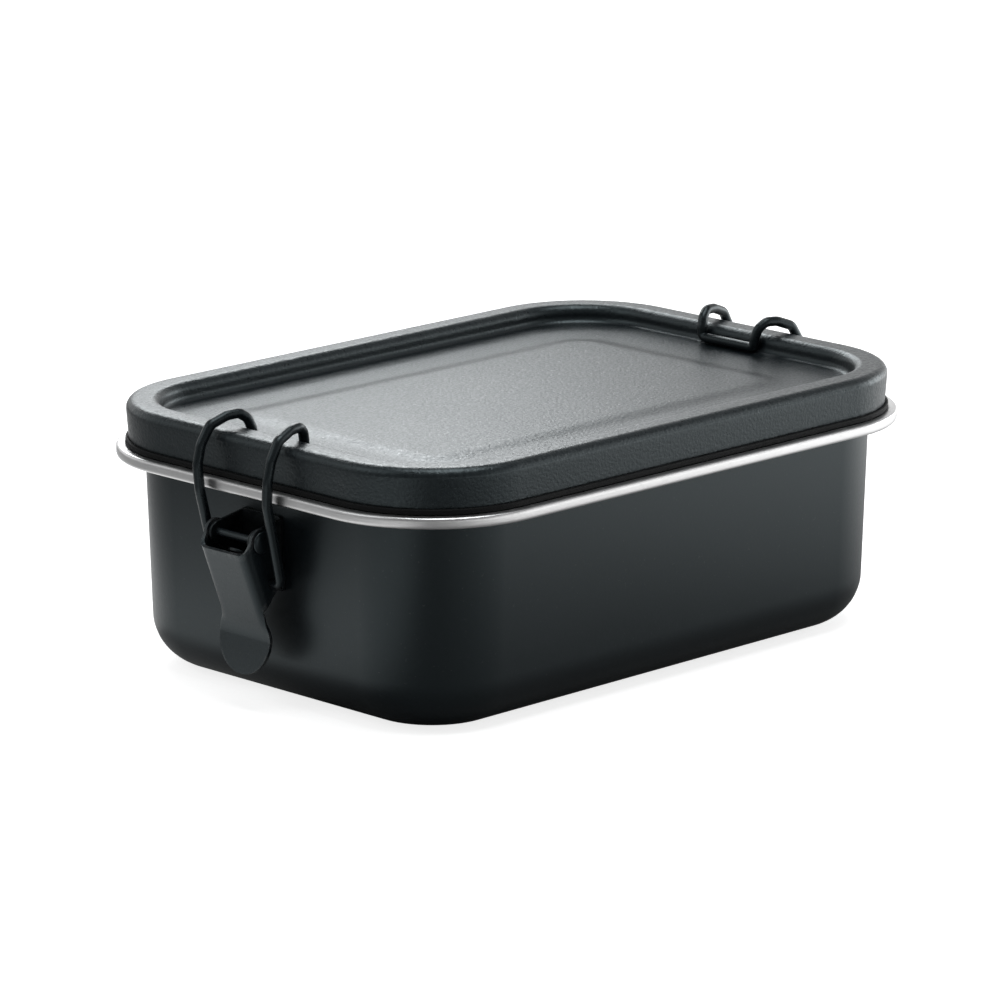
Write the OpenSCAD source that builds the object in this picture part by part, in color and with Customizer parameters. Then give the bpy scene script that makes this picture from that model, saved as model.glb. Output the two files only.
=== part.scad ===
// Clip-closed lunch box in drawn sheet metal: a tub with a rolled rim, a
// pressed lid with a seal, and a lever latch with a wire bail at each end.
// Millimetres. X runs along the length, Z is up, the origin is under the
// middle of the tub on the surface it stands on.

/* [Tub] */
// Length over the rolled rim
rim_length = 170; // [150:1:200]
// Width over the rolled rim
rim_width = 120; // [105:1:140]
// Corner radius of the rim, seen from above
rim_corner = 30; // [26:0.5:38]
// Height of the flange's upper face above the table
flange_height = 50; // [44:0.5:70]
// Width of the flange from the wall to the rim's outer edge
flange_width = 6.6; // [6.2:0.1:8]
// Radius of the rolled bead on the rim
bead_radius = 1.35; // [1.2:0.05:1.6]
// How far the bead's centre stands above the flange's upper face
bead_lift = 0.4; // [0.2:0.1:0.8]
// Sheet thickness of the tub
tub_sheet = 0.6; // [0.5:0.05:0.8]
// How far each wall leans in from the flange to the base
wall_draft = 1.6; // [0.5:0.1:3]
// Outer rounding between wall and base
base_rounding = 12; // [8:0.5:14]

/* [Lid] */
// Gap between the lid's skirt and the rolled bead
skirt_gap = 0.4; // [0.3:0.05:0.6]
// Gap under the lid's skirt and under the seal
seat_gap = 0.3; // [0.2:0.05:0.5]
// Sheet thickness of the lid
lid_sheet = 0.6; // [0.5:0.05:0.8]
// Height of the ridge's top above the flange
lid_height = 12; // [10:0.5:15]
// How far the skirt flares out from its lower edge to the top
skirt_flare = 0.7; // [0:0.1:1.2]
// Width of the ridge at its top
ridge_width = 7.9; // [7:0.1:9]
// Rounding of the ridge's two edges
ridge_rounding = 2.2; // [1.6:0.1:2.8]
// Depth of the lid's dish below the ridge
dish_depth = 4.6; // [4.4:0.1:6]
// Rounding at the foot of the dish wall
dish_rounding = 1.4; // [1.2:0.1:1.6]
// Distance from the foot of the dish wall to the raised panel
panel_margin = 12.2; // [10:0.2:16]
// Corner radius at the foot of the raised panel
panel_corner = 10.5; // [9:0.5:14]
// Width of the slope round the panel
panel_slope = 7; // [3:0.5:8]
// Height of the panel above the dish floor
panel_rise = 0.6; // [0.4:0.1:1.4]

/* [Seal] */
// Width of the seal's lip where it lands on the flange
seal_lip = 2.6; // [2:0.1:3.2]
// Clearance between the seal's sides and the lid's walls
seal_clearance = 0.2; // [0.1:0.05:0.4]

/* [Latch] */
// Distance of the pivot pin's axis outside the tub wall's upper edge
pin_reach = 7.5; // [7:0.1:9]
// Distance of the pivot pin's axis below the flange's upper face
pin_drop = 9.8; // [8:0.1:12]
// Reach of the bracket's plate below the pin's axis
plate_drop = 13; // [11:0.5:16]
// Reach of the bracket's plate above the pin's axis
plate_rise = 4.4; // [3.8:0.2:5.4]
// Depth of the foot of the bracket's ears below the pin's axis
ear_drop = 8; // [6.5:0.5:10]
// Radius of the bracket's ears round the pin
eye_radius = 2.6; // [2.2:0.1:2.9]
// Width of the bracket's stop tongue
stop_width = 5.6; // [4:0.2:8]
// Outward lean of the stop tongue, in degrees
stop_lean = 27; // [22:0.5:30]
// Reach of the stop tongue's end outside the pin's axis
stop_reach = 1.9; // [1:0.1:2.4]
// Radius of the pivot pin
pin_radius = 0.9; // [0.8:0.05:1]
// Running clearance round the pin
pin_fit = 0.05; // [0.02:0.01:0.1]
// Radius of the pin's rivet heads
head_radius = 2.5; // [2.2:0.1:2.9]
// Thickness of the pin's rivet heads
head_thickness = 0.7; // [0.5:0.1:0.9]
// Clearance between parts that turn side by side
side_clearance = 0.25; // [0.2:0.05:0.4]
// Sheet thickness of the bracket and the lever
latch_sheet = 0.8; // [0.6:0.1:1]
// Width of the lever over its side walls
lever_width = 15.4; // [14:0.2:17]
// Radius of the lever's ears round the pin
ear_radius = 3; // [2.6:0.1:3.4]
// Distance from the pin's axis out to the front plate's upper edge
front_reach = 5; // [4.6:0.1:5.6]
// Distance from the pin's axis down to the front plate's upper edge
front_drop = 2.6; // [2:0.1:3.5]
// Lean of the lever's front plate, in degrees
front_lean = 20.5; // [16:0.5:24]
// Length of the front plate along its lean
front_length = 20.6; // [18:0.2:23]
// Length of the lever's side walls along the front plate
cheek_length = 15; // [13:0.2:17]
// Outer radius of the bend between the front plate and the side walls
cheek_bend = 2.4; // [1.6:0.1:3]
// Radius of the round finger tongue
tongue_radius = 8.2; // [7.6:0.1:9]
// Outward kick of the finger tongue, in degrees
tongue_kick = 10; // [4:1:16]
// Distance from the crease to the tongue's tip
tongue_length = 9.9; // [8.5:0.1:11]

/* [Wire bail] */
// Radius of the bail's wire
wire_radius = 1.1; // [0.9:0.05:1.2]
// Distance between the centres of the bail's two legs beside the rim
leg_width = 22.8; // [22:0.2:26]
// Distance between the centres of the bail's two legs at its hook
hook_width = 16.8; // [14:0.2:22]
// Distance between the centres of the bail's two legs at its feet
foot_width = 21; // [20.6:0.1:22]
// Depth of the bail's pivot below the pin's axis
bail_pivot_drop = 9.9; // [9:0.1:10.6]
// Distance of the bail's pivot inside the pin's axis
bail_pivot_inset = 3.3; // [3:0.1:3.8]
// Gap between the bail's legs and the rolled rim
leg_gap = 0.9; // [0.5:0.1:1.4]
// Gap between the bail's hook and the dish it lies in
wire_gap = 0.35; // [0.3:0.05:0.5]
// Height of the bail's arch above the lid's ridge, clear of it
arch_gap = 2; // [1:0.1:2.6]

/* [Hidden] */
$fn = 64;
coat = [0.13, 0.14, 0.15];
steel = [0.78, 0.78, 0.77];
silicone = [0.08, 0.08, 0.085];
// overlap that joins neighbouring pieces of one sheet
lap = 0.02;

// every ring is swept round the same four corner centres
corner_x = rim_length / 2 - rim_corner;
corner_y = rim_width / 2 - rim_corner;

// tub section, measured out from the corner centres
wall_top = rim_corner - flange_width;
wall_foot = wall_top - wall_draft;
bead_x = rim_corner - bead_radius;
bead_z = flange_height + bead_lift;
flange_low = flange_height - tub_sheet;
flange_bend = 1.2;

// lid section, measured the same way
skirt_foot = bead_x - bead_radius - skirt_gap;
skirt_top = skirt_foot + skirt_flare;
skirt_low = flange_height + seat_gap;
lid_top = flange_height + lid_height;
shoulder_z = lid_top - ridge_rounding;
dish_wall = skirt_top - ridge_width;
dish_z = lid_top - dish_depth;
dish_foot = dish_wall - dish_rounding;
panel_x = corner_x + dish_foot - panel_margin;
panel_y = corner_y + dish_foot - panel_margin;

// latch, measured out from the tub's middle
pin_x = corner_x + wall_top + pin_reach;
pin_z = flange_height - pin_drop;
cheek_outer = lever_width / 2;
cheek_inner = cheek_outer - latch_sheet;
bracket_outer = cheek_inner - side_clearance;
bracket_inner = bracket_outer - latch_sheet;
head_inner = cheek_outer + side_clearance;
bail_x = pin_x - bail_pivot_inset;
bail_z = pin_z - bail_pivot_drop;
foot_y = foot_width / 2;
leg_y = leg_width / 2;
hook_y = hook_width / 2;
lug_radius = wire_radius + 1.2;
hook_room = max(wire_radius + wire_gap, dish_rounding);
hook_x = corner_x + dish_wall - hook_room;
hook_z = dish_z + hook_room;
arch_z = lid_top + wire_radius + arch_gap;
leg_x = rim_length / 2 + wire_radius + leg_gap;
front_dir = [-sin(front_lean), -cos(front_lean)];
front_in = [-cos(front_lean), sin(front_lean)];
front_top = [pin_x + front_reach, pin_z - front_drop];
crease = front_top + front_length * front_dir;

// where the outer face of the tub's wall is at a height
function wall_at(z) = wall_foot + wall_draft * z / flange_height;

// ---- shapes used more than once ----

// a rectangle with round corners, centred
module round_rect(half_x, half_y, r) {
    square([2 * half_x, 2 * (half_y - r)], center = true);
    square([2 * (half_x - r), 2 * half_y], center = true);
    for (sx = [-1, 1], sy = [-1, 1])
        translate([sx * (half_x - r), sy * (half_y - r)]) circle(r);
}

// sweeps a section round four corner centres at (+-cx, +-cy)
module ring(cx, cy) {
    for (q = [[1, 1, 0], [-1, 1, 90], [-1, -1, 180], [1, -1, 270]])
        translate([q[0] * cx, q[1] * cy, 0]) rotate([0, 0, q[2]])
            rotate_extrude(angle = 90) children();
    for (side = [[cx, 2 * cy, 0], [cy, 2 * cx, 90], [cx, 2 * cy, 180], [cy, 2 * cx, 270]])
        rotate([0, 0, side[2]]) translate([side[0], side[1] / 2, 0])
            rotate([90, 0, 0]) linear_extrude(side[1]) children();
}

// a quarter of a round sheet bend about c, outer radius r, turned by a
module bend(c, r, t, a) {
    translate(c) rotate(a) intersection() {
        difference() { circle(r); circle(r - t); }
        translate([-lap, -lap]) square(r + 2 * lap);
    }
}

// a straight stretch of sheet from p to q whose thickness t lies on its left
module strip(p, q, t) {
    run = norm(q - p);
    rise = atan2(q[1] - p[1], q[0] - p[0]);
    translate(p) rotate(rise) translate([-lap, 0]) square([run + 2 * lap, t]);
}

// a round rod from a to b
module rod(a, b, r) {
    run = b - a;
    translate(a) rotate([0, acos(run[2] / norm(run)), atan2(run[1], run[0])])
        cylinder(h = norm(run), r = r);
}

// ---- tub ----

module tub_section() {
    foot = wall_at(base_rounding);
    neck_z = flange_height - flange_bend;
    neck = wall_at(neck_z);
    square([foot - base_rounding + lap, tub_sheet]);
    bend([foot - base_rounding, base_rounding], base_rounding, tub_sheet, 270);
    strip([foot, base_rounding], [neck, neck_z], tub_sheet);
    bend([neck + flange_bend - tub_sheet, neck_z], flange_bend, tub_sheet, 90);
    strip([neck + flange_bend - tub_sheet, flange_low], [bead_x - 0.6 * bead_radius, flange_low], tub_sheet);
    translate([bead_x, bead_z]) difference() {
        circle(bead_radius);
        circle(bead_radius - tub_sheet);
        // the curl stops short of the flange
        rotate(155) square([2 * bead_radius, bead_lift + tub_sheet]);
    }
}

module tub() {
    color(coat) {
        ring(corner_x, corner_y) tub_section();
        linear_extrude(tub_sheet) square([2 * corner_x, 2 * corner_y], center = true);
    }
}

// ---- lid ----

module lid_section() {
    strip([skirt_foot, skirt_low], [skirt_top, shoulder_z], lid_sheet);
    bend([skirt_top - ridge_rounding, shoulder_z], ridge_rounding, lid_sheet, 0);
    strip([skirt_top - ridge_rounding, lid_top], [dish_wall + ridge_rounding, lid_top], lid_sheet);
    bend([dish_wall + ridge_rounding, shoulder_z], ridge_rounding, lid_sheet, 90);
    strip([dish_wall, shoulder_z], [dish_wall, dish_z + dish_rounding], lid_sheet);
    bend([dish_foot, dish_z + dish_rounding], dish_rounding + lid_sheet, lid_sheet, 270);
}

module lid() {
    inner_corner = panel_corner - panel_slope;
    color(coat) {
        ring(corner_x, corner_y) lid_section();
        // dish floor round the raised panel
        translate([0, 0, dish_z - lid_sheet]) linear_extrude(lid_sheet) difference() {
            round_rect(corner_x + dish_foot + lap, corner_y + dish_foot + lap, dish_foot + lap);
            round_rect(panel_x, panel_y, panel_corner);
        }
        // slope up to the panel
        ring(panel_x - panel_corner, panel_y - panel_corner) polygon([
            [panel_corner + lap, dish_z - lid_sheet], [panel_corner + lap, dish_z], [panel_corner, dish_z],
            [inner_corner, dish_z + panel_rise], [inner_corner - lap, dish_z + panel_rise],
            [inner_corner - lap, dish_z + panel_rise - lid_sheet],
            [inner_corner, dish_z + panel_rise - lid_sheet], [panel_corner, dish_z - lid_sheet]]);
        translate([0, 0, dish_z + panel_rise - lid_sheet]) linear_extrude(lid_sheet)
            round_rect(panel_x - panel_slope, panel_y - panel_slope, inner_corner);
    }
}

// a silicone ring in the hollow ridge, whose lip lands on the flange
module lid_seal() {
    outer_low = skirt_foot - lid_sheet - seal_clearance;
    outer_top = skirt_top - lid_sheet - seal_clearance;
    root_inner = dish_wall + lid_sheet + seal_clearance;
    lip_inner = outer_low - seal_lip;
    root_low = dish_z - lid_sheet;
    color(silicone) ring(corner_x, corner_y) polygon([
        [outer_low, skirt_low], [outer_top, shoulder_z], [root_inner, shoulder_z],
        [root_inner, root_low], [lip_inner, root_low], [lip_inner, skirt_low]]);
}

// ---- latch, built at the +X end ----

// lays a flat shape, drawn in x and z, across the latch from -half to half
module across(half) {
    translate([0, half, 0]) rotate([90, 0, 0]) linear_extrude(2 * half) children();
}

// the same, as a sheet on each side between two distances from the middle
module on_each_side(inner, outer) {
    for (s = [-1, 1]) translate([0, s * (inner + outer) / 2, 0]) across((outer - inner) / 2) children();
}

module cross_bore(x, z, r) {
    translate([x, 0, z]) rotate([90, 0, 0]) cylinder(h = 2 * lever_width, r = r, center = true);
}

module latch_bracket() {
    plate_low = pin_z - plate_drop;
    plate_high = pin_z + plate_rise;
    ear_low = pin_z - ear_drop;
    seat = 0.03;
    stop_root = [corner_x + wall_at(ear_low) + seat, 0, ear_low];
    stop_length = (pin_x + stop_reach - stop_root[0]) / cos(stop_lean);
    function back(z) = corner_x + wall_at(z) + seat;
    color(coat) difference() {
        union() {
            across(bracket_outer) polygon([
                [back(plate_low), plate_low], [back(plate_low) + latch_sheet, plate_low],
                [back(plate_high) + latch_sheet, plate_high], [back(plate_high), plate_high]]);
            on_each_side(bracket_inner, bracket_outer) {
                polygon([[back(ear_low), ear_low], [pin_x, pin_z - eye_radius],
                         [pin_x, pin_z + eye_radius], [back(plate_high), plate_high]]);
                translate([pin_x, pin_z]) circle(eye_radius);
            }
            // stop tongue under the pin
            translate(stop_root) rotate([0, -stop_lean, 0]) linear_extrude(latch_sheet) {
                translate([latch_sheet, -stop_width / 2])
                    square([stop_length - latch_sheet - stop_width / 2, stop_width]);
                translate([stop_length - stop_width / 2, 0]) circle(stop_width / 2);
            }
        }
        cross_bore(pin_x, pin_z, pin_radius + pin_fit);
    }
}

module pivot_pin() {
    color(coat) translate([pin_x, 0, pin_z]) rotate([90, 0, 0]) {
        cylinder(h = 2 * head_inner + lap, r = pin_radius, center = true);
        for (s = [0, 1]) mirror([0, 0, s]) translate([0, 0, head_inner]) {
            cylinder(h = head_thickness / 2, r = head_radius);
            cylinder(h = head_thickness, r = head_radius - head_thickness / 2);
        }
    }
}

// the lever seen from the side: front plate, cheeks, ears and bail lugs
module lever_side() {
    plate_end = crease + front_dir * lap;
    cheek_end = front_top + cheek_length * front_dir;
    polygon([front_top, plate_end, plate_end + front_in * latch_sheet,
             front_top + front_in * latch_sheet]);
    polygon([front_top, cheek_end, cheek_end + front_in * latch_sheet,
             [bail_x - lug_radius * 0.7, bail_z - lug_radius * 0.7], [bail_x - lug_radius, bail_z],
             [pin_x - ear_radius, pin_z], [pin_x, pin_z + ear_radius], [pin_x + ear_radius, pin_z]]);
    translate([pin_x, pin_z]) circle(ear_radius);
    translate([bail_x, bail_z]) circle(lug_radius);
}

// a channel section whose front face lies on y = 0
module channel(half, r) {
    depth = 2 * lever_width;
    translate([-half, r]) square([2 * half, depth - r]);
    translate([r - half, 0]) square([2 * (half - r), depth]);
    for (s = [-1, 1]) translate([s * (half - r), r]) circle(r);
}

// lays a flat shape on a leaning plate: its x across the latch, its y up the
// plate from a point, with the sheet behind the face
module on_plate(at, lean) {
    translate([at[0], 0, at[1]]) rotate([0, lean, 0]) rotate([90, 0, 90])
        translate([0, 0, -latch_sheet]) linear_extrude(latch_sheet) children();
}

module lever() {
    waist = cheek_outer - cheek_bend + sqrt(cheek_bend ^ 2 - (cheek_bend - latch_sheet) ^ 2);
    tongue_drop = tongue_length - tongue_radius;
    tongue_in = [-cos(tongue_kick), -sin(tongue_kick)];
    color(coat) difference() {
        union() {
            intersection() {
                translate([crease[0], 0, crease[1]]) rotate([0, front_lean, 0]) rotate([0, 0, 90])
                    translate([0, 0, -1]) linear_extrude(front_length + 3 * ear_radius) difference() {
                        channel(cheek_outer, cheek_bend);
                        translate([0, latch_sheet]) channel(cheek_inner, cheek_bend - latch_sheet);
                    }
                across(cheek_outer + 1) lever_side();
            }
            // the round tongue runs a little way up the front plate
            on_plate(crease, front_lean) intersection() {
                translate([0, -tongue_drop]) circle(tongue_radius);
                translate([-tongue_radius, 0]) square(2 * tongue_radius);
            }
            on_plate(crease, -tongue_kick) intersection() {
                translate([0, -tongue_drop]) circle(tongue_radius);
                translate([-tongue_radius, lap - 2 * tongue_radius]) square(2 * tongue_radius);
            }
            // the outside of the crease
            across(waist) polygon([crease, crease + front_in * latch_sheet - lap * front_dir,
                                   crease + (front_in + tongue_in) * latch_sheet / 2 + [0, -lap],
                                   crease + tongue_in * latch_sheet + [0, -lap]]);
        }
        cross_bore(pin_x, pin_z, pin_radius + pin_fit);
        cross_bore(bail_x, bail_z, wire_radius + pin_fit);
    }
}

// one leg of the bail, from its foot in the lever to the hook's corner; over
// the ridge the two legs draw in towards the hook
function leg(s) = let (skirt_x = corner_x + skirt_top, waist_y = (foot_y + leg_y) / 2,
                       pinch = leg_y - hook_y) [
    [bail_x, s * (cheek_inner - latch_sheet / 2), bail_z],
    [bail_x, s * foot_y, bail_z],
    [leg_x, s * waist_y, bead_z - bead_radius],
    [leg_x + 0.2, s * leg_y, shoulder_z - 5],
    [leg_x - 1, s * leg_y, shoulder_z - 0.4],
    [skirt_x + 1, s * (leg_y - 0.1 * pinch), lid_top + 1.1],
    [skirt_x - ridge_rounding, s * (leg_y - 0.3 * pinch), arch_z],
    [hook_x + 3, s * (leg_y - 0.6 * pinch), arch_z],
    [hook_x + 1.2, s * (leg_y - 0.8 * pinch), lid_top + 1.9],
    [hook_x + 0.15, s * (leg_y - 0.95 * pinch), lid_top - 0.4],
    [hook_x, s * hook_y, hook_z]];

module wire_bail() {
    // balls at the corners are a hair fatter than the wire, so that they join cleanly
    ball = wire_radius + lap;
    color(coat) {
        for (s = [-1, 1]) {
            path = leg(s);
            for (i = [1 : len(path) - 1]) {
                rod(path[i - 1], path[i], wire_radius);
                translate(path[i]) sphere(ball);
            }
        }
        rod([hook_x, -hook_y, hook_z], [hook_x, hook_y, hook_z], wire_radius);
    }
}

// the same latch stands at the other end, facing the other way
module left() { mirror([1, 0, 0]) children(); }

tub();
lid();
lid_seal();
left() latch_bracket();  // left_bracket
left() pivot_pin();  // left_pin
left() lever();  // left_lever
left() wire_bail();  // left_bail
latch_bracket();  // right_bracket
pivot_pin();  // right_pin
lever();  // right_lever
wire_bail();  // right_bail
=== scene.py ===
from math import acos, atan, ceil, cos, degrees, pi, radians, sin, sqrt, tan

import bmesh
import bpy
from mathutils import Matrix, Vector


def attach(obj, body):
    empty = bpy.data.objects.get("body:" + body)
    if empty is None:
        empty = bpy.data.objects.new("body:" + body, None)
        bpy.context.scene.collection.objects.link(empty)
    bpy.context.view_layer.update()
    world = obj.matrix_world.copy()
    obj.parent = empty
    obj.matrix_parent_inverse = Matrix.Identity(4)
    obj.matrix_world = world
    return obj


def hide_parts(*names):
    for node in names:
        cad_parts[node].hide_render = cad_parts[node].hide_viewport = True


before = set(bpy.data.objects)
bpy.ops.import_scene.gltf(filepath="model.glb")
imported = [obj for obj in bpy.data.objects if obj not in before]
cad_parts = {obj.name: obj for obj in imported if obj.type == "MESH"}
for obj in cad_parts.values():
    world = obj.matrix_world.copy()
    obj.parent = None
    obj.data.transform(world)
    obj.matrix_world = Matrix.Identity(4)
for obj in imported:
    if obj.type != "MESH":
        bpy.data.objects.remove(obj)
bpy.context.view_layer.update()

mm = 0.001
print("frame loaded:", ", ".join(sorted(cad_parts)))


# a number on its way through a shader: sums and products of it add Math nodes
class Num:
    def __init__(self, paint, socket):
        self.paint, self.socket = paint, socket

    def math(self, operation, first, second):
        return Num(self.paint, self.paint.add("ShaderNodeMath", {"operation": operation}, {0: first, 1: second}))

    def __add__(self, other):
        return self.math("ADD", self, other)

    def __radd__(self, other):
        return self.math("ADD", other, self)

    def __sub__(self, other):
        return self.math("SUBTRACT", self, other)

    def __rsub__(self, other):
        return self.math("SUBTRACT", other, self)

    def __mul__(self, other):
        return self.math("MULTIPLY", self, other)

    def __rmul__(self, other):
        return self.math("MULTIPLY", other, self)


# the node tree of a material or of the world, and the shader in it that everything feeds
class Paint:
    def __init__(self, owner, shader="Principled BSDF", places="Object"):
        owner.use_nodes = True
        self.owner, self.tree = owner, owner.node_tree
        self.shader = self.tree.nodes[shader]
        self.places = self.add("ShaderNodeTexCoord", {}, {}, places)

    # adds a node: its settings first, then the values or links of its sockets
    def add(self, kind, settings={}, sockets={}, output=0):
        node = self.tree.nodes.new(kind)
        for name, value in settings.items():
            if name == "stops":
                self.setStops(node.color_ramp, value)
            else:
                setattr(node, name, value)
        for name, value in sockets.items():
            self.feed(node.inputs[name], value)
        return node.outputs[output]

    def setStops(self, ramp, stops):
        while len(ramp.elements) < len(stops):
            ramp.elements.new(1.0)
        for element, (at, colour) in zip(ramp.elements, stops):
            element.position, element.color = at, colour

    def feed(self, socket, value):
        if isinstance(value, Num):
            value = value.socket
        if isinstance(value, bpy.types.NodeSocket):
            self.tree.links.new(value, socket)
        else:
            socket.default_value = value

    # plain values and links for the shader's own sockets
    def finish(self, sockets):
        for name, value in sockets.items():
            self.feed(self.shader.inputs[name], value)
        return self.owner

    # soft blotches about size metres across, from 0 to 1
    def noise(self, size, detail=2.0, rough=0.5, stretch=(1, 1, 1), shift=(0, 0, 0)):
        spot = self.add("ShaderNodeMapping", {}, {"Vector": self.places, "Scale": stretch, "Location": shift})
        return Num(self, self.add("ShaderNodeTexNoise", {}, {
            "Vector": spot, "Scale": 1 / size, "Detail": detail, "Roughness": rough}))

    # stretches low..high of a value to 0..1, and stops there
    def between(self, value, low, high):
        return Num(self, self.add("ShaderNodeMapRange", {"interpolation_type": "SMOOTHSTEP"}, {
            "Value": value, "From Min": low, "From Max": high}))

    def mix(self, mask, first, second):
        return self.add("ShaderNodeMix", {"data_type": "RGBA"}, {"Factor": mask, 6: first, 7: second}, 2)

    def bump(self, height, depth, under=None):
        sockets = {"Height": height, "Distance": depth}
        if under is not None:
            sockets["Normal"] = under
        return self.add("ShaderNodeBump", {}, sockets)

    # 1 for rays of one kind, such as Is Camera Ray
    def rays(self, kind):
        return Num(self, self.add("ShaderNodeLightPath", {}, {}, kind))

    # 1 on the sharp outer edges of a piece, 0 on its flats
    def edges(self, low=0.52, high=0.62):
        return self.between(Num(self, self.add("ShaderNodeNewGeometry", {}, {}, "Pointiness")), low, high)


def grey(level, cool=0.0):
    return (level * (1 - cool), level, level * (1 + cool), 1)


# the shapes below are worked out in millimetres

# a closed loop round a rectangle with round corners, always with the same number of points
def roundLoop(halfX, halfY, corner, z, arcSteps=14, sideSteps=6):
    arcs = []
    for turn, sx, sy in ((0, 1, 1), (90, -1, 1), (180, -1, -1), (270, 1, -1)):
        angles = [radians(turn + 90 * i / arcSteps) for i in range(arcSteps + 1)]
        arcs.append([Vector((sx * (halfX - corner) + corner * cos(a), sy * (halfY - corner) + corner * sin(a), z))
                     for a in angles])
    points = []
    for arc, after in zip(arcs, arcs[1:] + arcs[:1]):
        points += arc + [arc[-1].lerp(after[0], i / sideSteps) for i in range(1, sideSteps)]
    return points


def arcPoints(x, z, radius, first, last, steps):
    angles = [radians(first + (last - first) * i / steps) for i in range(steps + 1)]
    return [(x + radius * cos(a), z + radius * sin(a)) for a in angles]


# joins each row of points to the next with quads, and says which faces it made
def skin(bm, rows, closed=True):
    made, before = [], None
    for row in rows:
        verts = [bm.verts.new(p) for p in row]
        if before:
            for i in range(len(verts) if closed else len(verts) - 1):
                j = (i + 1) % len(verts)
                made.append(bm.faces.new((before[i], before[j], verts[j], verts[i])))
        else:
            firstRow = verts
        before = verts
    return made, firstRow, before


# a flat outline pushed to a thickness: place(u, v, w) says where a point of it goes
def plate(bm, outline, thickness, place):
    low = [bm.verts.new(place(u, v, 0)) for u, v in outline]
    high = [bm.verts.new(place(u, v, thickness)) for u, v in outline]
    bm.faces.new(low)
    bm.faces.new(list(reversed(high)))
    for i in range(len(low)):
        j = (i + 1) % len(low)
        bm.faces.new((low[i], low[j], high[j], high[i]))


# rounds the corners of a path in space
def rounded(points, radii, step=6):
    path = [points[0]]
    for before, at, after, radius in zip(points, points[1:], points[2:], radii):
        into, out = (at - before).normalized(), (after - at).normalized()
        turn = acos(max(-1, min(1, into.dot(out))))
        if turn < 0.01:
            continue
        reach = min(radius * tan(turn / 2), 0.49 * (at - before).length, 0.49 * (after - at).length)
        radius = reach / tan(turn / 2)
        start = at - into * reach
        side = (out - into * into.dot(out)).normalized()
        count = max(2, ceil(turn / radians(step)))
        path += [start + into * radius * sin(turn * i / count) + side * radius * (1 - cos(turn * i / count))
                 for i in range(count + 1)]
    return path + [points[-1]]


capSteps = ((0.22, 0.7), (0.14, 0.9))  # how far out and how wide a wire's end is, as shares of its radius


# a round wire along a path, with slightly rounded cut ends
def wire(bm, path, radius, sides=16):
    tangents = [(b - a).normalized() for a, b in zip(path, path[1:])]
    tangents = tangents[:1] + [(a + b).normalized() for a, b in zip(tangents, tangents[1:])] + tangents[-1:]
    across = tangents[0].orthogonal().normalized()
    rows = []
    for at, along in zip(path, tangents):
        across = (across - along * across.dot(along)).normalized()
        other = along.cross(across)
        rows.append([at + radius * (across * cos(2 * pi * k / sides) + other * sin(2 * pi * k / sides))
                     for k in range(sides)])

    def shrunk(row, at, shift, share):
        return [at + shift + (p - at) * share for p in row]

    first, last = -tangents[0] * radius, tangents[-1] * radius
    opening = [shrunk(rows[0], path[0], first * out, share) for out, share in capSteps]
    closing = [shrunk(rows[-1], path[-1], last * out, share) for out, share in reversed(capSteps)]
    start, end = skin(bm, opening + rows + closing)[1:]
    bm.faces.new(start)
    bm.faces.new(list(reversed(end)))


# turns millimetres into a piece that rides on a body, in place of CAD nodes
def makePiece(name, bm, materials, body, nodes=(), modifiers=(), side=1, solid=True):
    if solid:
        bmesh.ops.recalc_face_normals(bm, faces=bm.faces)
    for vert in bm.verts:
        vert.co = Vector((vert.co.x * side, vert.co.y, vert.co.z)) * mm
    if side < 0:
        bmesh.ops.reverse_faces(bm, faces=bm.faces)
    for face in bm.faces:
        face.smooth = True
    mesh = bpy.data.meshes.new(name)
    bm.to_mesh(mesh)
    bm.free()
    piece = bpy.data.objects.new(name, mesh)
    bpy.context.scene.collection.objects.link(piece)
    for material in materials:
        mesh.materials.append(material)
    for kind, settings in modifiers:
        modifier = piece.modifiers.new(kind.title(), kind)
        for key, value in settings.items():
            setattr(modifier, key, value)
    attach(piece, body)
    if nodes:
        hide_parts(*nodes)
    return piece


cornerX, cornerY = 55, 30  # centres that every ring of the tub and lid is swept round


def sectionRows(section):
    return [roundLoop(cornerX + r, cornerY + r, r, z) for r, z in section]


# sizes and depths in metres; patch is how much clouds and rubbing change the roughness
coatLook = {"dark": 0.003, "light": 0.007, "worn": 0.05, "roughness": 0.36, "ior": 1.5,
            "grain": 0.0007, "depth": 0.00009, "mottle": 0.42, "patch": 0.06,
            "cloudSize": 0.03, "peelSize": 0.0011, "rubSize": 0.002, "speckSize": 0.0006,
            "rubbed": 0.6, "speckled": 0.35, "tint": (0.8, 0.96, 1.0, 1)}


# powder coat: a fine sandy skin, a little paler where it is rubbed on edges
def makeCoat(name, look):
    paint = Paint(bpy.data.materials.new(name))
    sand = paint.noise(look["grain"], 2, 0.5)
    cloud = paint.noise(look["cloudSize"], 3, 0.5)
    peel = paint.noise(look["peelSize"], 2, 0.5, shift=(0.3, 0.1, 0.2))
    colour = paint.mix(cloud * 0.5 + sand * 0.5, grey(look["dark"], 0.4), grey(look["light"], 0.3))
    rub = paint.edges() * paint.between(paint.noise(look["rubSize"], 4, 0.7), 0.4, 0.62)
    specks = paint.between(paint.noise(look["speckSize"], 1, 0.4, shift=(2, 5, 3)), 0.73, 0.78)
    colour = paint.mix(rub * look["rubbed"], colour, grey(look["worn"], 0.02))
    colour = paint.mix(specks * look["speckled"], colour, grey(look["worn"], 0.02))
    fine = paint.bump(sand, look["depth"])
    # sand and cloud lie round 0.5, so half of what they add comes off first
    smoothest = look["roughness"] - look["mottle"] / 2 - look["patch"] / 2
    return paint.finish({
        "Base Color": colour, "IOR": look["ior"], "Metallic": 0.0, "Specular Tint": look["tint"],
        "Roughness": sand * look["mottle"] + cloud * look["patch"] + smoothest - rub * look["patch"],
        "Normal": paint.bump(peel, look["depth"] / 4, fine)})


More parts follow.
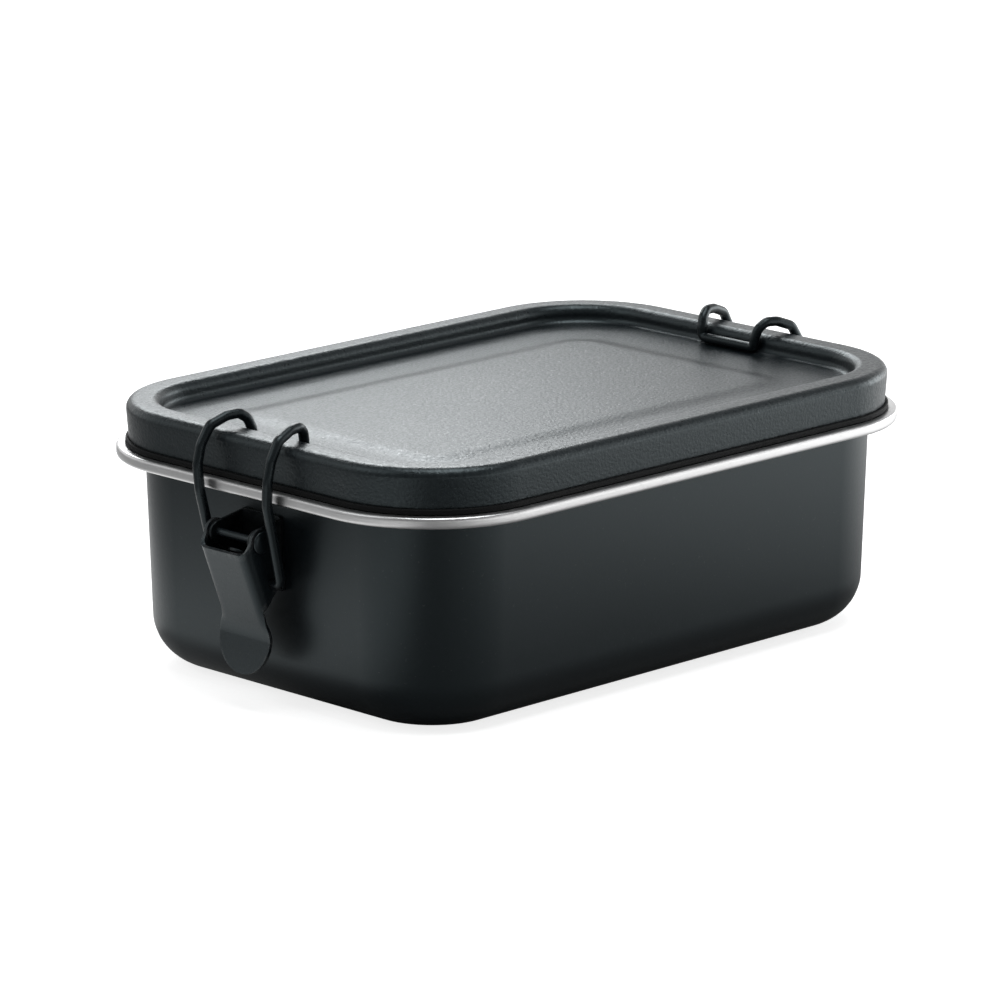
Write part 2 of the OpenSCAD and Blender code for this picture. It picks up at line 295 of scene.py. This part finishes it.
steelLook = {"base": 0.67, "stain": 0.58, "roughness": 0.26, "lines": 0.00016, "stretch": 12, "lineDepth": 0.00002,
             "cloudSize": 0.012, "scuffSize": 0.0016}


# stainless steel drawn and brushed along the rim, so its lines lie level
def makeSteel(name, look):
    paint = Paint(bpy.data.materials.new(name))
    lines = paint.noise(look["lines"] * look["stretch"], 4, 0.7, stretch=(0.35, 0.35, look["stretch"]))
    cloud = paint.noise(look["cloudSize"], 3, 0.5)
    scuffs = paint.between(paint.noise(look["scuffSize"], 3, 0.6, stretch=(1, 1, 4)), 0.56, 0.72)
    return paint.finish({
        "Base Color": paint.mix(cloud * 0.6 + scuffs * 0.3, grey(look["base"]), grey(look["stain"])), "Metallic": 1.0,
        "Roughness": look["roughness"] + lines * 0.14 + scuffs * 0.1,
        "Normal": paint.bump(lines, look["lineDepth"])})


cutLook = {"dull": 0.35, "bright": 0.65, "metallic": 0.4, "roughness": 0.32, "streakSize": 0.0007,
           "streakDepth": 0.00004}


# bare cut metal on the edges of pressed parts
def makeCutEdge(name, look):
    paint = Paint(bpy.data.materials.new(name))
    streaks = paint.noise(look["streakSize"], 3, 0.7)
    return paint.finish({
        "Base Color": paint.mix(streaks, grey(look["dull"], 0.01), grey(look["bright"])),
        "Metallic": look["metallic"], "Roughness": streaks * 0.2 + look["roughness"],
        "Normal": paint.bump(streaks, look["streakDepth"])})


siliconeLook = {"dark": 0.002, "light": 0.006, "roughness": 0.6, "ior": 1.25, "cloudSize": 0.006,
                "dustSize": 0.0009, "dustDepth": 0.00003}


def makeSilicone(name, look):
    paint = Paint(bpy.data.materials.new(name))
    cloud = paint.noise(look["cloudSize"], 3, 0.5)
    dust = paint.between(paint.noise(look["dustSize"], 4, 0.7), 0.55, 0.75)
    return paint.finish({
        "Base Color": paint.mix(cloud * 0.6 + dust * 0.4, grey(look["dark"], 0.1), grey(look["light"], 0.1)),
        "Roughness": cloud * 0.1 + dust * 0.15 + look["roughness"], "IOR": look["ior"],
        "Normal": paint.bump(dust, look["dustDepth"])})


tubCoat = makeCoat("tubCoat", dict(coatLook, depth=0.000012, mottle=0.12))
lidCoat = makeCoat("lidCoat", coatLook)
latchCoat = makeCoat("latchCoat", dict(coatLook, roughness=0.34, grain=0.0004, depth=0.00002, mottle=0.3,
                                      light=0.009))
# the bracket gets a darker copy of the black coat: painted shade for the shadow it sits in behind the lever
bracketCoatPaintedShade = makeCoat("bracketCoatPaintedShade", dict(coatLook, dark=0.002, light=0.003, ior=1.35, depth=0.00002, mottle=0.3))
wireCoat = makeCoat("wireCoat", dict(coatLook, roughness=0.32, grain=0.0003, depth=0.00002, mottle=0.3,
                                    light=0.005, ior=1.42))
rimSteel = makeSteel("rimSteel", steelLook)
cutEdge = makeCutEdge("cutEdge", cutLook)
silicone = makeSilicone("silicone", siliconeLook)
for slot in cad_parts["lid_seal"].material_slots:
    slot.material = silicone
print("materials made")

sheetEdge = ("BEVEL", {"width": 0.1 * mm, "segments": 2, "limit_method": "ANGLE", "angle_limit": radians(50)})
evenShade = ("WEIGHTED_NORMAL", {"weight": 80, "keep_sharp": True})

# across is the distance out from the corner centres; pairs of numbers are (across, height)
tubShape = {"sheet": 0.6, "foot": 22.184, "neck": 23.36, "neckZ": 48.8, "rounding": 12, "bendRadius": 0.6,
            "baseRings": (0.6, 5), "wallRings": (6, 14, 22, 30, 35.5), "flange": 49.4,
            "flangeRings": (24.6, 26, 27.3), "bead": (28.65, 50.4), "beadRadius": 1.35, "beadFrom": 230,
            "beadTurn": 285, "beadSteps": 40, "squareness": 4}


# turns a thin shell the right way out, judging by one of its faces on the +X side
def faceOutward(bm, face):
    bm.normal_update()
    if face.normal.x < 0:
        bmesh.ops.reverse_faces(bm, faces=bm.faces)


# the tub's outer face from the middle of the base to the end of the rolled rim; the rest is its thickness
def makeTub(shape):
    foot, neck, neckZ, rounding = shape["foot"], shape["neck"], shape["neckZ"], shape["rounding"]
    base = [(across, 0) for across in shape["baseRings"]]
    base += arcPoints(foot - rounding, rounding, rounding, 270, 360, 14)
    lean = (neck - foot) / (neckZ - rounding)
    walls = [(foot + lean * up, rounding + up) for up in shape["wallRings"]]
    bend = arcPoints(neck + shape["bendRadius"], neckZ, shape["bendRadius"], 180, 90, 5)
    flange = [(across, shape["flange"]) for across in shape["flangeRings"]]
    bead, power = [], shape["squareness"]
    for i in range(shape["beadSteps"] + 1):  # the rolled rim is a little squared off
        a = radians(shape["beadFrom"] + shape["beadTurn"] * i / shape["beadSteps"])
        reach = shape["beadRadius"] / (cos(a) ** power + sin(a) ** power) ** (1 / power)
        bead.append((shape["bead"][0] + reach * cos(a), shape["bead"][1] + reach * sin(a)))
    bm = bmesh.new()
    made, start, end = skin(bm, sectionRows(base + walls + bend + flange + bead))
    around = len(start)
    firstSteel = around * (len(base + walls + bend + flange) - 1)
    for face in made[firstSteel:]:
        face.material_index = 1
    bmesh.ops.poke(bm, faces=[bm.faces.new(start[::-1])])
    faceOutward(bm, made[around * len(base)])
    return makePiece("tubShell", bm, [tubCoat, rimSteel, rimSteel], "tub", ["tub"], [
        ("SOLIDIFY", {"thickness": shape["sheet"] * mm, "offset": -1, "material_offset": 1, "material_offset_rim": 1,
                      "use_even_offset": True}), evenShade], solid=False)


lidShape = {"sheet": 0.6, "foot": 26.9, "low": 50.3, "top": 27.6, "shoulder": 59.8, "ridge": 2.2,
            "ridgeMiddle": 23.65, "wall": 19.7, "wallTop": 59.5, "fillet": 1.6, "dish": 57.4, "sag": 0.24,
            "sagWidth": 3.4, "panel": (60.6, 36.6, 11), "slope": 8, "rise": 0.55, "slopeSteps": 14,
            "panelRings": (0.6, 8, 20)}


# the lid's outer face from the skirt's lower edge over the ridge and the dish to the middle of the panel
def makeLid(shape):
    ridge, wall, dish, shoulder = shape["ridge"], shape["wall"], shape["dish"], shape["shoulder"]
    skirt = [(shape["foot"] + (shape["top"] - shape["foot"]) * t, shape["low"] + (shoulder - shape["low"]) * t)
             for t in (0, 0.03, 0.3, 0.6, 0.85)]
    outer = arcPoints(shape["top"] - ridge, shoulder, ridge, 0, 90, 10)
    inner = arcPoints(wall + ridge, shoulder, ridge, 90, 180, 10)
    sag, sagWidth, radius = shape["sag"], shape["sagWidth"], shape["fillet"]
    tilt = atan(2 * sag / sagWidth)  # of the floor where it meets the fillet
    fillet = [(wall, shape["wallTop"])]
    fillet += arcPoints(wall - radius, dish + sag + radius * cos(tilt), radius, 0, -90 + degrees(tilt), 8)
    foot = fillet[-1][0]
    fillet += [(foot - sagWidth * t, dish + sag * (1 - t) ** 2) for t in (0.15, 0.3, 0.5, 0.75, 1)]
    foot -= sagWidth
    rows = sectionRows(skirt + outer + [(shape["ridgeMiddle"], shoulder + ridge)] + inner + fillet)
    halfX, halfY, corner = shape["panel"]
    for t in (0.3, 0.7, 0.9):  # the dish floor narrows to the foot of the panel
        rows.append(roundLoop(cornerX + foot + (halfX - cornerX - foot) * t,
                              cornerY + foot + (halfY - cornerY - foot) * t, foot + (corner - foot) * t, dish))
    slope, top = shape["slope"], dish + shape["rise"]
    for i in range(shape["slopeSteps"] + 1):  # a soft step up to the panel
        t = i / shape["slopeSteps"]
        up = t * t * t * (t * (6 * t - 15) + 10)
        rows.append(roundLoop(halfX - slope * t, halfY - slope * t, corner - slope * t, dish + shape["rise"] * up))
    rows += [roundLoop(halfX - slope - inside, halfY - slope - inside, corner - slope - 0.1 * inside, top)
             for inside in shape["panelRings"]]
    bm = bmesh.new()
    made, start, end = skin(bm, rows)
    bm.faces.new(end)
    faceOutward(bm, made[len(start) * 2])
    return makePiece("lidShell", bm, [lidCoat], "lid", ["lid"], [
        ("SOLIDIFY", {"thickness": shape["sheet"] * mm, "offset": -1, "use_even_offset": True}),
        sheetEdge, evenShade], solid=False)


blackGapRingShape = {"inside": 26.75, "outside": 27.9, "low": 51.8, "high": 53.1, "round": 0.3}


# a black ring round the foot of the lid's skirt, just above the rim, that shows as a black band between the lid's
# edge and the rim
def makeBlackGapRing(shape):
    inside, outside, low, high, r = (shape[key] for key in ("inside", "outside", "low", "high", "round"))
    section = ([(inside, low)] + arcPoints(outside - r, low + r, r, -90, 0, 4)
               + arcPoints(outside - r, high - r, r, 0, 90, 4) + [(inside, high)])
    bm = bmesh.new()
    start, end = skin(bm, sectionRows(section))[1:]
    for i in range(len(start)):
        j = (i + 1) % len(start)
        bm.faces.new((end[i], end[j], start[j], start[i]))
    return makePiece("blackGapRing", bm, [silicone], "lid", modifiers=[evenShade])


makeTub(tubShape)
makeLid(lidShape)
makeBlackGapRing(blackGapRingShape)
print("tub and lid made")

# the end wall of the tub stands at wallFoot on the table and leans out by wallLean
bracketShape = {"half": 6.65, "ear": 5.85, "sheet": 0.8, "low": 27.2, "high": 44.6, "corner": 1.2,
                "wallFoot": 76.83, "wallLean": 0.032, "earLow": 32.2, "earDrop": 0.5, "earSeat": 0.3, "eye": 2.6,
                "eyeArc": (-68, 78), "pin": (85.9, 40.2), "stopWidth": 5.6, "stopLean": 27, "stopEnd": 87.8,
                "stopSeat": 0.7}


def makeBracket(name, shape, body, node, side):
    sheet, (pinX, pinZ), earLow = shape["sheet"], shape["pin"], shape["earLow"]

    def back(z):
        return shape["wallFoot"] + shape["wallLean"] * z

    bm = bmesh.new()
    half, low, high, corner = shape["half"], shape["low"], shape["high"], shape["corner"]
    corners = [(half - corner, low + corner, -90), (half - corner, high - corner, 0),
               (-half + corner, high - corner, 90), (-half + corner, low + corner, 180)]
    outline = [p for y, z, turn in corners for p in arcPoints(y, z, corner, turn, turn + 90, 5)]
    plate(bm, outline, sheet, lambda y, z, w: Vector((back(z) + w, y, z)))
    eye = arcPoints(pinX, pinZ, shape["eye"], *shape["eyeArc"], 14)
    ear = [(back(earLow) + shape["earSeat"], earLow)] + eye
    ear.append((back(high) + shape["earSeat"], high - shape["earDrop"]))
    for y in (shape["ear"], -half):
        plate(bm, ear, sheet, lambda x, z, w: Vector((x, y + w, z)))
    lean = radians(shape["stopLean"])
    run = (shape["stopEnd"] - back(earLow)) / cos(lean)
    tip = shape["stopWidth"] / 2
    tab = [(shape["stopSeat"], -tip)] + arcPoints(run - tip, 0, tip, -90, 90, 12) + [(shape["stopSeat"], tip)]
    plate(bm, tab, sheet, lambda u, y, w: Vector((back(earLow) + u * cos(lean) - w * sin(lean), y,
                                                  earLow + u * sin(lean) + w * cos(lean))))
    return makePiece(name, bm, [bracketCoatPaintedShade], body, [node], [
        ("BEVEL", {"width": 0.14 * mm, "segments": 2, "limit_method": "ANGLE", "angle_limit": radians(40)}),
        evenShade], side)


# the head's profile: radius and distance from the middle of the latch
rivetShape = {"pin": (85.9, 40.2), "sides": 32,
              "head": [(0.9, 7.9), (2.42, 7.95), (2.5, 8.04), (2.5, 8.18), (2.4, 8.36), (2.1, 8.51), (1.5, 8.61),
                       (0.7, 8.65)]}


def makeRivet(name, shape, body, node, side):
    pinX, pinZ = shape["pin"]
    profile = [(r, -y) for r, y in reversed(shape["head"])] + shape["head"]
    turns = [2 * pi * k / shape["sides"] for k in range(shape["sides"])]
    bm = bmesh.new()
    start, end = skin(bm, [[Vector((pinX + r * cos(a), y, pinZ + r * sin(a))) for a in turns]
                           for r, y in profile])[1:]
    bm.faces.new(start)
    bm.faces.new(list(reversed(end)))
    return makePiece(name, bm, [latchCoat], body, [node], [evenShade], side)


# ear and lug are circles as (s, deep, radius); the lists of s and deep say where the sheet is divided
leverShape = {"top": (90.9, 37.6), "lean": 20.5, "front": 20.6, "cheek": 15, "half": 7.7, "bend": 2.4, "sheet": 0.8,
              "ear": (-0.684, 5.594, 3.0), "lug": (9.745, 5.218, 2.3), "waist": 7.09, "tongue": 8.2, "drop": 1.7,
              "kick": 10, "soft": 2.4, "upperRows": 16,
              "topStart": 2.784, "topClimb": 0.623, "lugStart": 6.16, "lowClimb": 0.593, "lugEnd": 7.37,
              "neckLow": 10.55, "neckClimb": 9.85, "neckEnd": 8.404,
              "flatShares": (0, 0.3, 0.6, 0.85, 1), "bendAngles": (12, 24, 36, 48.2, 58, 69, 80, 90),
              "cheekDepths": (2.784, 3.1, 3.6, 4.3, 5.1, 5.9, 6.6, 7.1, 7.37, 7.7, 8.05, 8.3, 8.45, 8.55, 8.59),
              "plateRows": (15, 15.8, 16.6, 17.4, 18.18, 18.7, 19.2, 19.7, 20.15, 20.6, 21.05, 21.5, 21.9),
              "flattened": 5.6, "tongueStart": 18.18,
              "tongueAngles": (0, 12, 24, 36, 48, 58, 67, 75, 82, 87, 89.9)}


# the lever's sheet: s runs down its front from the top edge, deep is how far behind the front face
def makeLever(name, shape, body, node, side):
    lean, kick = radians(shape["lean"]), radians(shape["kick"])
    topX, topZ = shape["top"]
    creaseX, creaseZ = topX - shape["front"] * sin(lean), topZ - shape["front"] * cos(lean)
    earS, earDeep, ear = shape["ear"]
    lugS, lugDeep, lug = shape["lug"]

    def place(s, deep, y):
        bow = max(0, shape["soft"] - abs(s - shape["front"])) ** 2 / (4 * shape["soft"])
        softer = Vector((sin(kick) + sin(lean), 0, cos(lean) - cos(kick))) * bow
        if s <= shape["front"]:
            return softer + Vector((topX - s * sin(lean) - deep * cos(lean), y,
                                    topZ - s * cos(lean) + deep * sin(lean)))
        along = s - shape["front"]
        return softer + Vector((creaseX + along * sin(kick) - deep * cos(kick), y,
                                creaseZ - along * cos(kick) - deep * sin(kick)))

    def topOf(deep):  # the upper edge climbs from the front plate over the ear
        if deep < shape["topStart"]:
            return -shape["topClimb"] * deep
        return earS - sqrt(max(0, ear ** 2 - (deep - earDeep) ** 2))

    def lowOf(deep):  # the lower edge runs back to the lug, then up behind the ear
        if deep < shape["lugStart"]:
            return shape["cheek"] - max(0, deep - shape["sheet"]) * shape["lowClimb"]
        if deep < shape["lugEnd"]:
            return lugS + sqrt(lug ** 2 - (deep - lugDeep) ** 2)
        if deep < shape["neckEnd"]:
            return shape["neckLow"] - (deep - shape["lugEnd"]) * shape["neckClimb"]
        return earS + sqrt(max(0, ear ** 2 - (deep - earDeep) ** 2))

    # one row of the sheet as (y, deep), from cheek to cheek round the front plate
    bend, flat = shape["bend"], shape["half"] - shape["bend"]
    across = [(flat * t, 0) for t in shape["flatShares"]]
    across += [(flat + bend * sin(radians(a)), bend * (1 - cos(radians(a)))) for a in shape["bendAngles"]]
    waistColumn = 8  # the column at which the plate below the cheeks ends
    across += [(shape["half"], deep) for deep in shape["cheekDepths"]]
    across = [(-y, deep) for y, deep in reversed(across[1:])] + across
    middle = len(across) // 2
    bm = bmesh.new()
    rows = []
    for j in range(shape["upperRows"] + 1):
        t = j / shape["upperRows"]
        row = []
        for i, (y, deep) in enumerate(across):
            end = shape["cheek"] if abs(i - middle) <= waistColumn else lowOf(deep)
            row.append(place(topOf(deep) * (1 - t) + t * end, deep, y))
        rows.append(row)
    skin(bm, rows, closed=False)
    # below the cheeks only the front plate goes on, flattens and widens into the tongue
    tongue, ringS = shape["tongue"], shape["front"] + shape["drop"]
    stations = [*shape["plateRows"], *(ringS + tongue * sin(radians(a)) for a in shape["tongueAngles"])]
    rows = []
    for s in stations:
        half = shape["waist"] if s < shape["tongueStart"] else sqrt(max(0, tongue ** 2 - (s - ringS) ** 2))
        fade = min(1, (s - shape["cheek"]) / shape["flattened"])
        fade = 1 - fade * fade * (3 - 2 * fade)
        rows.append([place(s, deep * fade, y * half / shape["waist"])
                     for y, deep in across[middle - waistColumn:middle + waistColumn + 1]])
    skin(bm, rows, closed=False)
    bmesh.ops.remove_doubles(bm, verts=bm.verts, dist=0.004)
    front = [f for f in bm.faces if abs(f.calc_center_median().y) < 3 and f.calc_center_median().z > 30]
    faceOutward(bm, front[0])
    return makePiece(name, bm, [latchCoat, cutEdge], body, [node], [
        ("SOLIDIFY", {"thickness": shape["sheet"] * mm, "offset": -1, "use_even_offset": True,
                      "use_quality_normals": True}),
        ("BEVEL", {"width": 0.26 * mm, "segments": 3, "limit_method": "ANGLE", "angle_limit": radians(55),
                   "material": 1}),
        evenShade], side, solid=False)


# corners of one leg of the bail, each with its bend radius
wireShape = {"radius": 1.18, "leg": [
    ((82.6, 6.5, 30.3), 0), ((82.6, 10.5, 30.3), 1.9), ((87, 10.95, 49.05), 8), ((87.2, 11.4, 54.8), 6),
    ((86.1, 11.4, 59.2), 5), ((83.6, 11.1, 63.25), 2.6), ((79.2, 10.3, 64.88), 4), ((76.1, 9.7, 65.02), 2),
    ((74.2, 9, 63.6), 2.3), ((73.4, 8.5, 61.3), 3), ((73.25, 8.4, 59), 2.4)]}


def makeBail(name, shape, body, node, side):
    leg = [Vector(point) for point, radius in shape["leg"]]
    radii = [radius for point, radius in shape["leg"]]
    points = leg + [Vector((p.x, -p.y, p.z)) for p in reversed(leg)]
    bm = bmesh.new()
    wire(bm, rounded(points, radii[1:] + radii[::-1][:-1]), shape["radius"])
    return makePiece(name, bm, [wireCoat], body, [node], [evenShade], side)


for end, side in (("left", -1), ("right", 1)):
    makeBracket(end + "BracketPlate", bracketShape, "tub", end + "_bracket", side)
    makeRivet(end + "Rivet", rivetShape, "tub", end + "_pin", side)
    makeLever(end + "LeverPlate", leverShape, end + "_lever", end + "_lever", side)
    makeBail(end + "Wire", wireShape, end + "_bail", end + "_bail", side)
print("latches made")

cameraView = {"azimuth": -45.02, "elevation": 14.15, "distance": 1332.8, "target": (-3.78, 0, 33.84), "lens": 207.7,
              "sensor": 36, "clipEnd": 50}


def towards(azimuth, elevation):
    a, e = radians(azimuth), radians(elevation)
    return Vector((sin(a) * cos(e), -cos(a) * cos(e), sin(e)))


def addCamera(view):
    data = bpy.data.cameras.new("camera")
    camera = bpy.data.objects.new("camera", data)
    bpy.context.scene.collection.objects.link(camera)
    data.lens, data.sensor_width, data.clip_end = view["lens"], view["sensor"], view["clipEnd"]
    back = towards(view["azimuth"], view["elevation"])
    camera.location = (Vector(view["target"]) + back * view["distance"]) * mm
    camera.rotation_euler = back.to_track_quat("Z", "Y").to_euler()
    bpy.context.scene.camera = camera


# azimuth and elevation say where a lamp stands, seen from a point inside the box
lampAim, lampColour = (0, 0, 0.03), (0.97, 0.99, 1.0)
lamps = {
    "backCard": {"from": (149, 35), "away": 0.6, "size": (0.32, 0.27), "watts": 1.5},
    "leftSoftbox": {"from": (-112, 40), "away": 1.1, "size": (0.7, 0.6), "watts": 1.6},
    "rightFill": {"from": (75, 8), "away": 0.7, "size": (0.4, 0.3), "watts": 1.4},
    "overhead": {"from": (0, 80), "away": 1.4, "size": (0.9, 0.9), "watts": 11},
}


def addLamp(name, lamp):
    data = bpy.data.lights.new(name, "AREA")
    data.shape, data.size, data.size_y, data.energy = "RECTANGLE", *lamp["size"], lamp["watts"]
    data.color = lampColour
    light = bpy.data.objects.new(name, data)
    bpy.context.scene.collection.objects.link(light)
    back = towards(*lamp["from"])
    light.location = back * lamp["away"] + Vector(lampAim)
    light.rotation_euler = back.to_track_quat("Z", "Y").to_euler()
    light.visible_camera = False


# the floor's brightness in reflections only, by metres to the right of the box's middle as the camera sees it: a
# painted reflection on the box's coat and steel; near the box it fades, and the paper seen in reflections is darker,
# which paints shade into them
studio = {"room": 0.22, "backdropTop": 30, "topBlur": 0.15, "backdrop": (-0.1, 0.6), "coveAhead": (-0.8, -0.2),
          "coveLeft": 0.4, "flagRight": (0.12, 0.3), "flagAhead": (0.3, 0.6), "flagDark": 0.85,
          "floorHalf": 6.0, "floorDrop": 0.00005, "boxHalf": (0.08, 0.055, 0), "paintedReflectionEdge": (-0.01, 0.02),
          "paper": 0.6, "paintedReflectionShade": 0.2, "lift": 0.8, "glow": 2.0,
          "paintedReflection": [(-0.35, 0.1), (-0.2, 0.15), (-0.12, 0.95), (-0.08, 0.75), (-0.04, 0.0), (0.1, 0.15), (0.2, 0.85),
                    (0.3, 1.7)]}


# a white backdrop behind the box and a dim room above it and behind the camera
def addWorld(look):
    world = bpy.data.worlds.new("studio")
    bpy.context.scene.world = world
    paint = Paint(world, "Background", "Generated")
    behind = towards(cameraView["azimuth"] + 180, 0)
    ahead = Num(paint, paint.add("ShaderNodeVectorMath", {"operation": "DOT_PRODUCT"}, {
        0: paint.places, 1: behind}, "Value"))
    height = Num(paint, paint.add("ShaderNodeSeparateXYZ", {}, {"Vector": paint.places}, "Z"))
    top = sin(radians(look["backdropTop"]))
    low = 1 - paint.between(height, top - look["topBlur"], top + look["topBlur"])
    backdrop = paint.between(ahead, *look["backdrop"]) * low
    rightward = Num(paint, paint.add("ShaderNodeVectorMath", {"operation": "DOT_PRODUCT"}, {
        0: paint.places, 1: towards(cameraView["azimuth"] + 90, 0)}, "Value"))
    # reflections see the white sheet curve round in front, dimmer on the left, with a dark flag behind on the right
    flag = paint.between(rightward, *look["flagRight"]) * paint.between(ahead, *look["flagAhead"])
    leftToRight = look["coveLeft"] + (1 - look["coveLeft"]) * paint.between(rightward, *look["coveAhead"])
    cove = paint.between(ahead, *look["coveAhead"]) * low * leftToRight * (1 - look["flagDark"] * flag)
    white = paint.rays("Is Camera Ray") + paint.rays("Is Transmission Ray") + paint.rays("Is Glossy Ray") * cove
    room = look["room"] + backdrop * (1 - look["room"])
    paint.finish({"Color": (1, 1, 1, 1), "Strength": white + (1 - white) * room})


# the camera sees the paper lifted to white; reflections see a darker paper and a glow that rises and falls across the
# floor and fades out right by the box: painted reflection and painted shade on the box
def addFloor(look):
    bm = bmesh.new()
    half = look["floorHalf"]
    bm.faces.new([bm.verts.new((x * half, y * half, -look["floorDrop"]))
                  for x, y in ((-1, -1), (1, -1), (1, 1), (-1, 1))])
    mesh = bpy.data.meshes.new("floor")
    bm.to_mesh(mesh)
    bm.free()
    floor = bpy.data.objects.new("floor", mesh)
    bpy.context.scene.collection.objects.link(floor)
    paint = Paint(bpy.data.materials.new("floorPaper"))

    rightward = Num(paint, paint.add("ShaderNodeVectorMath", {"operation": "DOT_PRODUCT"}, {
        0: paint.places, 1: towards(cameraView["azimuth"] + 90, 0)}, "Value"))
    stops = [(at + 0.5, grey(level / look["glow"])) for at, level in look["paintedReflection"]]
    outside = paint.places
    for operation, second in (("ABSOLUTE", (0, 0, 0)), ("SUBTRACT", look["boxHalf"]), ("MAXIMUM", (0, 0, 0))):
        outside = paint.add("ShaderNodeVectorMath", {"operation": operation}, {0: outside, 1: second})
    away = Num(paint, paint.add("ShaderNodeVectorMath", {"operation": "LENGTH"}, {0: outside}, "Value"))
    paintedReflection = Num(paint, paint.add("ShaderNodeValToRGB", {"stops": stops}, {"Fac": rightward + 0.5}))
    # the glow fades out right by the box: painted shade in the box's reflections near its foot
    paintedReflection = paintedReflection * paint.between(away, *look["paintedReflectionEdge"])
    reflected = paint.rays("Is Glossy Ray") + paint.rays("Is Transmission Ray")
    seen = paint.rays("Is Camera Ray") * (look["lift"] / look["glow"])
    # reflections see the paper darker than the camera does: painted shade in the box's reflections
    mesh.materials.append(paint.finish({
        "Base Color": paint.mix(reflected, grey(look["paper"]), grey(look["paintedReflectionShade"])), "Roughness": 0.9,
        "Specular IOR Level": 0.1, "Emission Color": seen + reflected * paintedReflection, "Emission Strength": look["glow"]}))


addCamera(cameraView)
for name, lamp in lamps.items():
    addLamp(name, lamp)
addWorld(studio)
addFloor(studio)
bpy.context.scene.view_settings.view_transform = "Standard"
print("studio made")
